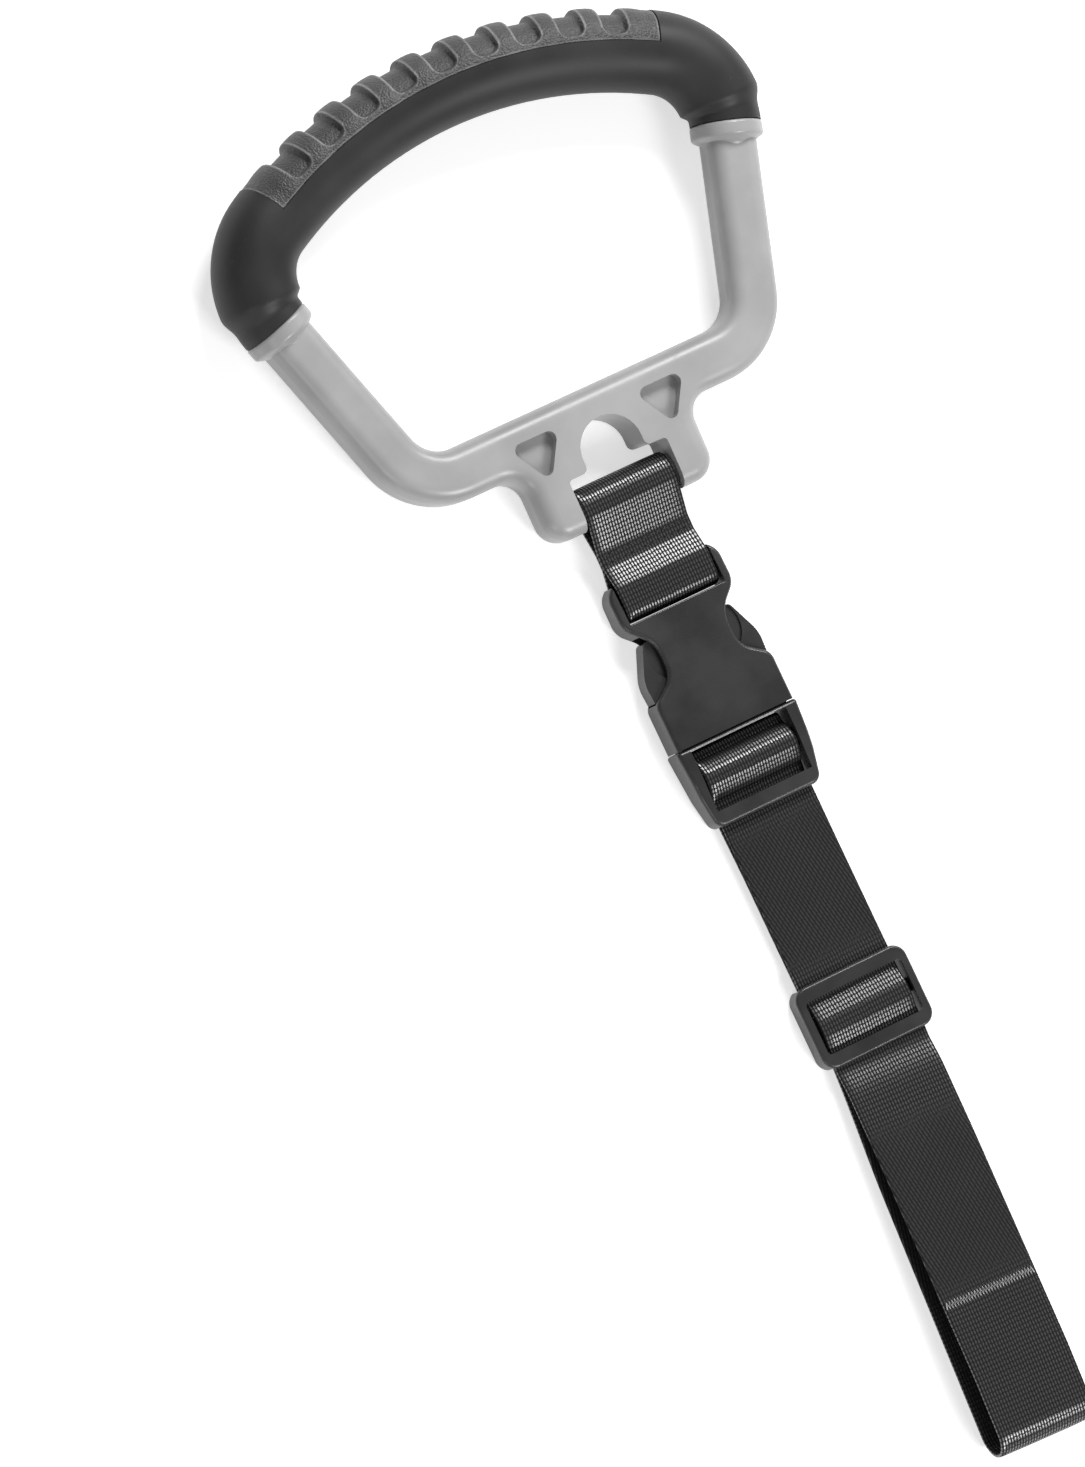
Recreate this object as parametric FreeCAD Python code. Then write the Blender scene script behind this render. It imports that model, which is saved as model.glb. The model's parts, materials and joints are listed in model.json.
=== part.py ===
import FreeCAD, Part
import math
import os

# Grab handle with a strap, laid flat. Millimetres and degrees.
# X runs across the handle, Y from the strap's end loop up to the grip, Z is up.

# Webbing and running clearance
web_width = 38.0
web_thick = 1.6
run_gap = 0.3

# D frame, in the plane of the handle, with Y = 0 just above the crossbar
frame_width = 19.0
frame_depth = 18.0
frame_round = 6.0
bar_y = 22.2
corner_x = 70.0
corner_radius = 22.5
arm_lean = 17.8
arm_length = 77.8

# Yoke under the bar
lobe_width = 14.4
lobe_y = -15.3
lobe_fillet = 8.5
lobe_round = 8.6
slot_side_gap = 1.3
slot_top = 3.9
slot_round = 1.5
dome_radius = 12.0
dome_top = 20.3
shoulder_round = 2.5
crossbar_y = -6.3
crossbar_radius = 4.5
crossbar_seat = 1.0
pocket_x = 26.0
pocket_top = 23.2
pocket_width = 21.0
pocket_height = 17.0
pocket_round = 2.8
pocket_depth = 4.0

# Collars at the ends of the grip
collar_radius = 13.1
collar_length = 5.2
collar_blend = 5.0
collar_lip_round = 1.4
collar_foot_round = 1.6
collar_neck_round = 3.5
collar_sink = 0.6

# Rubber grip and its ribbed palm pad
grip_radius = 15.1
neck_radius = 12.9
core_radius = 9.0
shoulder_radius = 28.0
crest_radius = 170.0
neck_angle = 8.0
neck_blend = 11.0
neck_rings = 5
pad_thick = 4.2
pad_seam = 1.2
pad_segments = 10
pad_pitch = 5.42
pocket_share = 0.54
rib_height = 2.4
rib_pocket_start = 16.0
rib_pocket_round = 2.2

# Short webbing loop
seam_y = -27.0
seam_length = 6.0

# Side-release buckle, female half
buckle_depth = 12.5
buckle_wall = 2.1
buckle_edge = 1.6
web_slot_gap = 0.9
bar_seat = 0.5
ear_wall = 3.2
ear_depth = 9.6
ear_top = -35.9
ear_round = 7.0
ear_foot_round = 8.0
web_bar_y = -45.9
web_bar_radius = 2.6
plate_y = -51.7
plate_edge = 0.5
socket_wall = 4.4
socket_round = 5.0
waist_x = 14.4
waist_top = -52.8
waist_shoulder = 8.0
waist_rise = 7.0
waist_bottom = -81.2
waist_round = 12.0
waist_foot_round = 9.0
socket_end = -99.6
side_wall = 1.9
taper_y = -62.0
taper_round = 60.0
channel_wall = 1.5
channel_top = -57.0
channel_foot = 3.0

# Side-release buckle, male half
plug_gap = 0.4
guide_width = 8.4
guide_depth = 6.0
guide_length = 30.0
guide_round = 2.5
insert_gap = 0.5
insert_top = -92.0
flange_top = -96.8
top_rail = 5.2
mid_rail = 3.9
end_rail = 1.7
rail_mid_y = -118.0
rail_curve = 20.0
plug_corner = 1.0
plug_end = -130.4
plug_end_round = 4.0
plug_end_drop = 2.6
ramp_y = -112.0
ramp_round = 25.0
window_top = -101.2
lip_width = 5.8
lip_depth = 5.7
adjuster_y = -112.3
adjuster_radius = 3.6

# Sprung arms of the male half
pivot_inset = 6.9
arm_pivot_y = -94.2
arm_root_radius = 2.3
button_inset = 0.8
button_gap = 0.4
button_top = -59.4
button_slope = 5.4
button_edge = 0.6
button_curve = 14.0
button_nose = 2.2
button_heel = 1.2
button_inner = 13.0
button_foot = -73.0
foot_round = 4.0
stem_top = 6.0
stem_round = 8.0
root_share = 0.99
button_bulge = 0.5
crescent_x = 7.7
crescent_y = -65.8
crescent_radius = 11.4
crescent_depth = 0.8

# Strap, from the adjuster bar to the end loop
under_lip_gap = 0.4
flat_start = -150.0
flat_end = -228.0
layer_gap = 0.2
loop_rise_y = -264.0
loop_rise_share = 0.48
loop_crest_y = -346.0
loop_height = 15.0
loop_foot_y = -270.0
foot_lead = 8.0
strap_end = -375.0
fold_round = 7.5
wide_round = 150.0
short_round = 60.0
lip_round = 12.0
bend_lead = 6.0
bend_angle = -3.2
join_y = -318.0
join_length = 24.0
bartack_width = 1.9
bartack_height = 0.4

# Tri-glide slider
slider_lead = 18.6
slider_length = 31.0
slider_rail = 3.0
slider_round = 5.3
slider_edge = 1.1
slider_corner = 1.5
slider_bar = 5.4
slider_bar_depth = 2.2
slider_web_gap = 0.3
slider_play = 1.1

# Reach of a cutting tool past the face that it cuts, and the least length that counts
past = 1.0
tiny = 1e-4

side = FreeCAD.Vector(1, 0, 0)
up = FreeCAD.Vector(0, 0, 1)
strap_half = web_width / 2
slot_x = strap_half + slot_side_gap
lobe_x = slot_x + lobe_width
web_slot = strap_half + web_slot_gap
ear_x = web_slot + ear_wall
socket_x = web_slot + socket_wall
cavity_x = socket_x - side_wall
arm_pivot_x = socket_x - pivot_inset
button_x = socket_x - button_inset
bend_y = flat_end + bend_lead
slider_y = flat_end + slider_lead


def vec(x, y, z=0.0):
    return FreeCAD.Vector(x, y, z)


def in_plan(u, v):
    return vec(u, v)


def in_side(u, v):
    return vec(0, u, v)


# A closed wire through the corners (u, v, radius), each rounded by its own radius
def rounded_wire(corners, place=in_plan):
    starts = []
    middles = []
    ends = []
    count = len(corners)
    for i in range(count):
        u, v, radius = corners[i]
        here = vec(u, v)
        to_last = (vec(*corners[i - 1][:2]) - here).normalize()
        to_next = (vec(*corners[(i + 1) % count][:2]) - here).normalize()
        half = to_last.getAngle(to_next) / 2
        reach = radius / math.tan(half)
        starts.append(here + to_last * reach)
        ends.append(here + to_next * reach)
        if radius > 0:
            inward = (to_last + to_next).normalize()
            middles.append(here + inward * (radius / math.sin(half) - radius))
        else:
            middles.append(here)
    edges = []
    for i in range(count):
        before = place(ends[i - 1].x, ends[i - 1].y)
        first = place(starts[i].x, starts[i].y)
        middle = place(middles[i].x, middles[i].y)
        last = place(ends[i].x, ends[i].y)
        if before.distanceToPoint(first) > tiny:
            edges.append(Part.LineSegment(before, first).toShape())
        if corners[i][2] > 0:
            edges.append(Part.Arc(first, middle, last).toShape())
    return Part.Wire(edges)


def plan_slab(corners, low, high):
    face = Part.Face(rounded_wire(corners))
    face.translate(vec(0, 0, low))
    return face.extrude(vec(0, 0, high - low))


def block(x0, x1, y0, y1, z0, z1):
    return Part.makeBox(x1 - x0, y1 - y0, z1 - z0, vec(x0, y0, z0))


def cross_rod(radius, half_length, y, z):
    return Part.makeCylinder(radius, 2 * half_length, vec(-half_length, y, z), side)


def mirrored(shape):
    return shape.mirror(vec(0, 0), side)


def both_sides(shape):
    return shape.fuse(mirrored(shape))


def joined(shapes):
    return shapes[0].fuse(shapes[1:]).removeSplitter()


# Solid with the given side view, across the whole width
def side_slab(corners, half_width):
    slab = Part.Face(rounded_wire(corners, in_side)).extrude(side * (2 * half_width))
    slab.translate(side * -half_width)
    return slab


# Upper and lower edges of a moulding, all round its plan outline
def outline_rims(shape, outline, keep):
    wire = rounded_wire(outline)
    found = []
    for edge in shape.Edges:
        middle = edge.valueAt((edge.FirstParameter + edge.LastParameter) / 2)
        ends = [vertex.Point for vertex in edge.Vertexes]
        upright = math.hypot(ends[0].x - ends[-1].x, ends[0].y - ends[-1].y) < tiny
        away = wire.distToShape(Part.Vertex(vec(middle.x, middle.y)))[0]
        if not upright and away < tiny and keep(middle):
            found.append(edge)
    return found


def rim_edges(shape, levels, keep):
    found = []
    for edge in shape.Edges:
        heights = [vertex.Z for vertex in edge.Vertexes]
        level = any(all(abs(z - want) < tiny for z in heights) for want in levels)
        if level and keep(edge.CenterOfMass):
            found.append(edge)
    return found


# Path of the D: bar, lower corner, arm, shoulder of the grip, crest of the grip
arm_way = vec(math.sin(math.radians(arm_lean)), math.cos(math.radians(arm_lean)))
arm_inward = vec(-arm_way.y, arm_way.x)
corner_turn = 90 - arm_lean
corner_reach = corner_radius * math.tan(math.radians(corner_turn / 2))
bar_end = corner_x - corner_reach
corner_center = vec(bar_end, bar_y + corner_radius)
arm_start = vec(corner_x, bar_y) + arm_way * corner_reach
collar_point = vec(corner_x, bar_y) + arm_way * arm_length
shoulder_center = collar_point + arm_inward * shoulder_radius
center_drop = math.sqrt((crest_radius - shoulder_radius) ** 2 - shoulder_center.x ** 2)
crest_center = vec(0, shoulder_center.y - center_drop)
crest_half = math.degrees(math.atan2(shoulder_center.x, center_drop))
shoulder_turn = arm_lean + 90 - crest_half
crest_start = crest_center + vec(
    math.sin(math.radians(crest_half)), math.cos(math.radians(crest_half))
) * crest_radius


# Turns a shape about a Z axis through a centre
def turned(shape, center, angle):
    copy = shape.copy()
    copy.rotate(center, up, angle)
    return copy


def frame_section(point, heading):
    across = vec(math.cos(math.radians(heading)), -math.sin(math.radians(heading)))
    half_w = frame_width / 2
    half_d = frame_depth / 2
    corners = [
        (-half_w, -half_d, frame_round),
        (half_w, -half_d, frame_round),
        (half_w, half_d, frame_round),
        (-half_w, half_d, frame_round),
    ]
    return Part.Face(rounded_wire(corners, lambda u, v: point + across * u + up * v))


def disc(point, way, radius):
    return Part.Face(Part.Wire(Part.makeCircle(radius, point, way)))


# The round rod that follows the shoulders and the crest of the grip
def grip_rod(radius, from_angle):
    start = turned(disc(collar_point, arm_way, radius), shoulder_center, from_angle)
    shoulder = start.revolve(shoulder_center, up, shoulder_turn - from_angle)
    crest_way = (crest_start - crest_center).cross(up)
    crest = disc(crest_start, crest_way, radius).revolve(crest_center, up, 2 * crest_half)
    return shoulder, crest


def make_yoke():
    half_w = frame_width / 2
    half_d = frame_depth / 2
    low = bar_y - half_w
    top = bar_y + half_w
    outline = [
        (-bar_end, top, 0),
        (bar_end, top, 0),
        (bar_end, low, 0),
        (lobe_x, low, lobe_fillet),
        (lobe_x, lobe_y, lobe_round),
        (-lobe_x, lobe_y, lobe_round),
        (-lobe_x, low, lobe_fillet),
        (-bar_end, low, 0),
    ]
    plate = plan_slab(outline, -half_d, half_d)
    rims = rim_edges(plate, (-half_d, half_d), lambda c: abs(c.x) < bar_end - tiny)
    plate = plate.makeFillet(frame_round, rims)
    opening = [
        (-slot_x, lobe_y - frame_round, 0),
        (slot_x, lobe_y - frame_round, 0),
        (slot_x, slot_top, slot_round),
        (dome_radius, slot_top, shoulder_round),
        (dome_radius, dome_top, dome_radius),
        (-dome_radius, dome_top, dome_radius),
        (-dome_radius, slot_top, shoulder_round),
        (-slot_x, slot_top, slot_round),
    ]
    plate = plate.cut(plan_slab(opening, -frame_depth, frame_depth))
    pocket = [
        (pocket_x - pocket_width / 2, pocket_top, pocket_round),
        (pocket_x + pocket_width / 2, pocket_top, pocket_round),
        (pocket_x, pocket_top - pocket_height, pocket_round),
    ]
    for low_z, high_z in ((half_d - pocket_depth, frame_depth), (-frame_depth, pocket_depth - half_d)):
        plate = plate.cut(both_sides(plan_slab(pocket, low_z, high_z)))
    return plate.fuse(cross_rod(crossbar_radius, slot_x + crossbar_seat, crossbar_y, 0))


def make_collar():
    arm_half = frame_depth / 2
    blend_end = collar_length + collar_blend
    profile = [
        (0, 0, 0),
        (collar_radius, 0, collar_lip_round),
        (collar_radius, -collar_length, collar_foot_round),
        (arm_half, -collar_length - collar_blend / 2, collar_neck_round),
        (arm_half - collar_sink, -blend_end - collar_blend, 0),
        (0, -blend_end - collar_blend, 0),
    ]
    ring = Part.Face(rounded_wire(profile)).revolve(vec(0, 0), vec(0, 1), 360)
    ring.rotate(vec(0, 0), up, -arm_lean)
    ring.translate(collar_point)
    return ring


def make_frame():
    corner = frame_section(vec(bar_end, bar_y), 90).revolve(corner_center, up, corner_turn)
    arm = frame_section(arm_start, arm_lean).extrude(collar_point - arm_start)
    shoulder, crest = grip_rod(core_radius, 0)
    arms = [corner, arm, make_collar(), shoulder]
    return joined([make_yoke(), crest] + arms + [mirrored(piece) for piece in arms])


# Neck that swells from the collar to the full grip
def make_neck():
    neck = disc(collar_point, arm_way, neck_radius).revolve(shoulder_center, up, neck_angle)
    rings = []
    for i in range(neck_rings):
        share = i / (neck_rings - 1)
        swell = share * share * (3 - 2 * share)
        radius = neck_radius + (grip_radius - neck_radius) * swell
        circle = Part.Wire(Part.makeCircle(radius, collar_point, arm_way))
        rings.append(turned(circle, shoulder_center, neck_angle + neck_blend * share))
    return neck, Part.makeLoft(rings, True, False)


# Half ring that the palm pad fills, as a section beside the crest line
def pad_body(outer, inner, half_angle):
    out_z = math.sqrt(outer ** 2 - pad_seam ** 2)
    in_z = math.sqrt(inner ** 2 - pad_seam ** 2)

    def place(u, v):
        return vec(crest_center.x, crest_center.y + crest_radius + u, v)

    edges = [
        Part.Arc(place(pad_seam, out_z), place(outer, 0), place(pad_seam, -out_z)).toShape(),
        Part.LineSegment(place(pad_seam, -out_z), place(pad_seam, -in_z)).toShape(),
        Part.Arc(place(pad_seam, -in_z), place(inner, 0), place(pad_seam, in_z)).toShape(),
        Part.LineSegment(place(pad_seam, in_z), place(pad_seam, out_z)).toShape(),
    ]
    half = turned(Part.Face(Part.Wire(edges)), crest_center, -half_angle)
    return half.revolve(crest_center, up, 2 * half_angle)


# Tool that sinks one pocket between two ribs of the pad
def rib_pocket():
    floor = grip_radius - rib_height
    clear = grip_radius + past
    lean = math.radians(rib_pocket_start)

    def place(radius, angle):
        across = crest_radius + radius * math.sin(angle)
        return vec(crest_center.x, crest_center.y + across, radius * math.cos(angle))

    far = math.pi - lean
    level = math.pi / 2
    edges = [
        Part.Arc(place(clear, lean), place(clear, level), place(clear, far)).toShape(),
        Part.LineSegment(place(clear, far), place(floor, far)).toShape(),
        Part.Arc(place(floor, far), place(floor, level), place(floor, lean)).toShape(),
        Part.LineSegment(place(floor, lean), place(clear, lean)).toShape(),
    ]
    width = pad_pitch * pocket_share
    tool = turned(Part.Face(Part.Wire(edges)), crest_center, -width / 2)
    tool = tool.revolve(crest_center, up, width)
    ends = [edge for edge in tool.Edges if edge.Curve.TypeId == "Part::GeomLine"]
    return tool.makeFillet(rib_pocket_round, ends)


def make_pad():
    pad = pad_body(grip_radius, grip_radius - pad_thick, pad_segments * pad_pitch / 2)
    tool = rib_pocket()
    first = -(pad_segments - 2) / 2
    for i in range(pad_segments - 1):
        pad = pad.cut(turned(tool, crest_center, (first + i) * pad_pitch))
    return pad


def make_sleeve():
    shoulder, crest = grip_rod(grip_radius, neck_angle + neck_blend)
    neck, swell = make_neck()
    sides = [neck, swell, shoulder]
    sleeve = joined([crest] + sides + [mirrored(piece) for piece in sides])
    core_side, core_crest = grip_rod(core_radius, 0)
    sleeve = sleeve.cut([core_crest, core_side, mirrored(core_side)])
    pad_room = pad_body(grip_radius + past, grip_radius - pad_thick, pad_segments * pad_pitch / 2)
    return sleeve.cut(pad_room)


# The handle lies on the two shoulders of its grip and on the end of its yoke
foot_point = turned(Part.Vertex(collar_point), shoulder_center, neck_angle + neck_blend).Point
rest_tilt = math.degrees(math.atan2(
    grip_radius - frame_depth / 2, foot_point.y - lobe_y - frame_round
))
tilt_turn = FreeCAD.Rotation(side, rest_tilt)


def tilted(shape):
    return shape.transformed(FreeCAD.Placement(vec(0, 0), tilt_turn).toMatrix(), True)


def lifted(shape, height):
    copy = shape.copy()
    copy.translate(vec(0, 0, height))
    return copy


# Point where a line from (y, z) touches a circle, on the side given by sign
def touch_point(y, z, center_y, center_z, radius, sign):
    reach = math.hypot(center_y - y, center_z - z)
    aim = math.atan2(y - center_y, z - center_z)
    spread = math.acos(radius / reach)
    angle = aim + sign * spread
    return center_y + radius * math.sin(angle), center_z + radius * math.cos(angle)


# Side view of a band that leaves a seam point and goes round a bar
def teardrop(seam, seam_z, center_y, center_z, radius, half_gap):
    way = 1 if center_y > seam else -1
    y_top, z_top = touch_point(seam, seam_z + half_gap, center_y, center_z, radius, way)
    y_low, z_low = touch_point(seam, seam_z - half_gap, center_y, center_z, radius, -way)
    top = in_side(y_top, z_top)
    low = in_side(y_low, z_low)
    far = in_side(center_y + way * radius, center_z)
    start = in_side(seam, seam_z + half_gap)
    end = in_side(seam, seam_z - half_gap)
    edges = [Part.LineSegment(start, top).toShape(), Part.Arc(top, far, low).toShape()]
    edges.append(Part.LineSegment(low, end).toShape())
    if half_gap > 0:
        edges.append(Part.LineSegment(end, start).toShape())
    return Part.Face(Part.Wire(edges))


def across_web(face):
    slab = face.extrude(side * web_width)
    slab.translate(side * -strap_half)
    return slab


def make_tether(bar_at):
    web_bar_z = buckle_depth / 2
    seam_z = (bar_at.z + web_bar_z) / 2
    ends = (
        (bar_at.y, bar_at.z, crossbar_radius + run_gap, seam_y + seam_length / 2),
        (web_bar_y, web_bar_z, web_bar_radius + run_gap, seam_y - seam_length / 2),
    )
    solids = []
    for center_y, center_z, radius, start in ends:
        outer = teardrop(start, seam_z, center_y, center_z, radius + web_thick, web_thick)
        inner = teardrop(start, seam_z, center_y, center_z, radius, 0)
        solids.append(across_web(outer.cut(inner)))
    seam = block(
        -strap_half, strap_half,
        seam_y - seam_length / 2, seam_y + seam_length / 2,
        seam_z - web_thick, seam_z + web_thick,
    )
    return joined([seam] + solids)


def make_receptacle():
    top = buckle_depth
    middle = top / 2
    outline = [
        (-ear_x, ear_top, ear_round),
        (ear_x, ear_top, ear_round),
        (ear_x, waist_top, ear_foot_round),
        (waist_x, waist_top - waist_shoulder, waist_round),
        (waist_x, waist_bottom + waist_rise, waist_foot_round),
        (socket_x, waist_bottom, socket_round),
        (socket_x, socket_end, 0),
        (-socket_x, socket_end, 0),
        (-socket_x, waist_bottom, socket_round),
        (-waist_x, waist_bottom + waist_rise, waist_foot_round),
        (-waist_x, waist_top - waist_shoulder, waist_round),
        (-ear_x, waist_top, ear_foot_round),
    ]
    profile = [
        (ear_top + past, middle - ear_depth / 2, 0),
        (ear_top + past, middle + ear_depth / 2, 0),
        (taper_y, top, taper_round),
        (socket_end, top, 0),
        (socket_end, 0, 0),
        (taper_y, 0, taper_round),
    ]
    shell = plan_slab(outline, 0, top).common(side_slab(profile, socket_x + past))
    rims = outline_rims(shell, outline, lambda c: c.y > socket_end + tiny)
    shell = shell.makeFillet(buckle_edge, rims)
    shell = shell.cut(block(
        -web_slot, web_slot, plate_y, ear_top + past, -past, top + past
    ))
    slot_edges = []
    for edge in shell.Edges:
        box = edge.BoundBox
        on_plate = abs(box.YMin - plate_y) < tiny and abs(box.YMax - plate_y) < tiny
        if on_plate and box.XLength > web_width:
            slot_edges.append(edge)
    shell = shell.makeFillet(plate_edge, slot_edges)
    shell = shell.cut(block(
        -cavity_x, cavity_x, socket_end - past, channel_top, buckle_wall, top - buckle_wall
    ))
    latch_gap = block(
        cavity_x - past, socket_x + past,
        waist_bottom, waist_bottom + waist_rise,
        buckle_wall, top - buckle_wall,
    )
    shell = shell.cut(both_sides(latch_gap))
    rib_x = guide_width / 2 + plug_gap
    rib = block(
        rib_x, rib_x + channel_wall,
        waist_bottom - channel_foot, channel_top,
        buckle_wall, top - buckle_wall,
    )
    bar = cross_rod(web_bar_radius, web_slot + bar_seat, web_bar_y, middle)
    return joined([shell, bar, rib, mirrored(rib)])


def make_plug():
    top = buckle_depth
    middle = top / 2
    top_x = web_slot + top_rail
    mid_x = web_slot + mid_rail
    end_x = web_slot + end_rail
    outline = [
        (-top_x, socket_end - run_gap, plug_corner),
        (top_x, socket_end - run_gap, plug_corner),
        (mid_x, rail_mid_y, rail_curve),
        (end_x, plug_end, plug_end_round),
        (-end_x, plug_end, plug_end_round),
        (-mid_x, rail_mid_y, rail_curve),
    ]
    profile = [
        (socket_end + past, 0, 0),
        (socket_end + past, top, 0),
        (ramp_y, top, ramp_round),
        (plug_end - past, top - plug_end_drop, 0),
        (plug_end - past, 0, 0),
    ]
    base = plan_slab(outline, 0, top).common(side_slab(profile, top_x + past))
    base = base.makeFillet(buckle_edge, outline_rims(base, outline, lambda c: True))
    lip_top = plug_end + lip_width
    base = base.cut(block(-web_slot, web_slot, lip_top, window_top, -past, top + past))
    base = base.cut(block(
        -web_slot, web_slot, plug_end - past, lip_top + past, -past, top - lip_depth
    ))
    inset = buckle_wall + plug_gap
    flange_x = cavity_x - plug_gap
    flange = block(-flange_x, flange_x, window_top, flange_top, inset, top - inset)
    insert_x = arm_pivot_x - arm_root_radius - insert_gap
    insert = block(-insert_x, insert_x, flange_top, insert_top, inset, top - inset)
    guide_x = guide_width / 2
    guide = plan_slab(
        [
            (-guide_x, insert_top, 0),
            (guide_x, insert_top, 0),
            (guide_x, insert_top + guide_length, guide_round),
            (-guide_x, insert_top + guide_length, guide_round),
        ],
        middle - guide_depth / 2,
        middle + guide_depth / 2,
    )
    bar = cross_rod(adjuster_radius, web_slot + bar_seat, adjuster_y, middle)
    return joined([base, flange, insert, guide, bar])


# Arm on the +X side, with the square shoulder that holds the buckle shut
# and its button, which is stepped down on the inner side of a crescent
def make_latch_arm():
    inset = buckle_wall + plug_gap
    root_in = arm_pivot_x - arm_root_radius
    root_out = arm_pivot_x + arm_root_radius
    shoulder_y = waist_bottom + button_gap
    root_y = arm_pivot_y - arm_root_radius
    root_round = arm_root_radius * root_share
    outline = [
        (root_in, arm_pivot_y + stem_top, stem_round),
        (root_in, root_y, root_round),
        (root_out, root_y, root_round),
        (root_out, shoulder_y, button_edge),
        (button_x, shoulder_y, button_edge),
        (button_x + button_bulge, button_foot, button_curve),
        (button_x - button_slope, button_top, button_nose),
        (button_inner, button_top, button_heel),
        (button_inner, button_foot, foot_round),
    ]
    arm = plan_slab(outline, inset, buckle_depth - inset)
    step = crescent_depth
    for low in (inset + step - buckle_depth, buckle_depth - inset - step):
        arm = arm.cut(Part.makeCylinder(
            crescent_radius, buckle_depth, vec(crescent_x, crescent_y, low)
        ))
    return arm


# Heights of the two strap layers where they run straight through the slider
lower_z = slider_bar_depth + slider_web_gap + web_thick / 2
upper_z = lower_z + web_thick + layer_gap
loop_floor = web_thick / 2
loop_top = loop_height + web_thick
loop_rise_z = upper_z + (loop_top - upper_z) * loop_rise_share


# Middle line of the closed strap, in side view, from bar to bar: (y, z, radius)
def strap_line():
    turn = adjuster_radius + run_gap + web_thick / 2
    bar_z = buckle_depth / 2
    lip_y = plug_end + lip_width
    lip_z = buckle_depth - lip_depth - under_lip_gap - web_thick / 2
    y_top, z_top = touch_point(lip_y, lip_z, adjuster_y, bar_z, turn, 1)
    y_low, z_low = touch_point(flat_start, lower_z, adjuster_y, bar_z, turn, -1)
    fold_y = strap_end + web_thick / 2
    corners = [
        (y_top, z_top, 0),
        (lip_y, lip_z, lip_round),
        (flat_start, upper_z, wide_round),
        (flat_end, upper_z, short_round),
        (loop_rise_y, loop_rise_z, wide_round),
        (loop_crest_y, loop_top, short_round),
        (fold_y, loop_top, fold_round),
        (fold_y, loop_floor, fold_round),
        (loop_foot_y, loop_floor, wide_round),
        (flat_end - foot_lead, lower_z, wide_round),
        (flat_start, lower_z, wide_round),
        (y_low, z_low, 0),
    ]
    return corners, in_side(adjuster_y + turn, bar_z)


def strap_wire():
    corners, around = strap_line()
    points = [in_side(y, z) for y, z, radius in corners]
    edges = []
    last = points[0]
    for i in range(1, len(points) - 1):
        radius = corners[i][2]
        to_last = (points[i - 1] - points[i]).normalize()
        to_next = (points[i + 1] - points[i]).normalize()
        half = to_last.getAngle(to_next) / 2
        reach = radius / math.tan(half)
        inward = (to_last + to_next).normalize()
        first = points[i] + to_last * reach
        middle = points[i] + inward * (radius / math.sin(half) - radius)
        end = points[i] + to_next * reach
        if last.distanceToPoint(first) > tiny:
            edges.append(Part.LineSegment(last, first).toShape())
        edges.append(Part.Arc(first, middle, end).toShape())
        last = end
    edges.append(Part.LineSegment(last, points[-1]).toShape())
    edges.append(Part.Arc(points[-1], around, points[0]).toShape())
    return Part.Wire(edges)


def web_ring(wire):
    outer = wire.makeOffset2D(web_thick / 2)
    inner = wire.makeOffset2D(-web_thick / 2)
    return Part.Face(outer).cut(Part.Face(inner))


# A layer on the straight upper run by the join, between two heights over its middle line
def layer_at_join(length, low, high):
    rise = in_side(loop_rise_y, loop_rise_z)
    crest = in_side(loop_crest_y, loop_top)
    way = (crest - rise).normalize()
    out = side.cross(way) * -1
    center = rise + way * ((join_y - rise.y) / way.y)
    corners = [
        center - way * (length / 2) + out * low,
        center + way * (length / 2) + out * low,
        center + way * (length / 2) + out * high,
        center - way * (length / 2) + out * high,
    ]
    return across_web(Part.Face(Part.makePolygon(corners + corners[:1])))


# The strap bends a little to one side below the slider, with a mitre at the bend
def bent(shape):
    here = vec(0, bend_y)
    half_x = web_width
    below = block(-half_x, half_x, strap_end - past, bend_y, -past, loop_top + web_width)
    near = shape.cut(turned(below, here, bend_angle / 2))
    far = shape.common(turned(below, here, -bend_angle / 2))
    return joined([near, turned(far, here, bend_angle)])


def make_strap():
    ring = across_web(web_ring(strap_wire()))
    overlap = layer_at_join(join_length, -1.5 * web_thick, -web_thick / 2)
    return bent(joined([ring, overlap]))


def make_bartack():
    row = layer_at_join(bartack_width, web_thick / 2, web_thick / 2 + bartack_height)
    return turned(row, vec(0, bend_y), bend_angle)


def make_slider():
    open_x = strap_half + slider_play
    half_x = open_x + slider_rail
    half_y = slider_length / 2
    bar_top = upper_z + web_thick / 2 + slider_web_gap
    top = bar_top + slider_bar_depth
    outline = [
        (-half_x, slider_y - half_y, slider_round),
        (half_x, slider_y - half_y, slider_round),
        (half_x, slider_y + half_y, slider_round),
        (-half_x, slider_y + half_y, slider_round),
    ]
    body = plan_slab(outline, 0, top)
    body = body.makeFillet(slider_edge, rim_edges(body, (0, top), lambda c: True))
    tunnel = block(
        -open_x, open_x,
        slider_y - half_y - past, slider_y + half_y + past,
        slider_bar_depth, bar_top,
    )
    body = body.cut(tunnel)
    window_y = half_y - slider_bar
    window = [
        (-open_x, slider_y - window_y, slider_corner),
        (open_x, slider_y - window_y, slider_corner),
        (open_x, slider_y + window_y, slider_corner),
        (-open_x, slider_y + window_y, slider_corner),
    ]
    body = body.cut(plan_slab(window, bar_top - past, top + past))
    for way in (-1, 1):
        edge = slider_y + way * slider_bar / 2
        far = slider_y + way * (half_y + past)
        body = body.cut(block(
            -open_x, open_x, min(edge, far), max(edge, far), -past, slider_bar_depth + past
        ))
    return body


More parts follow.
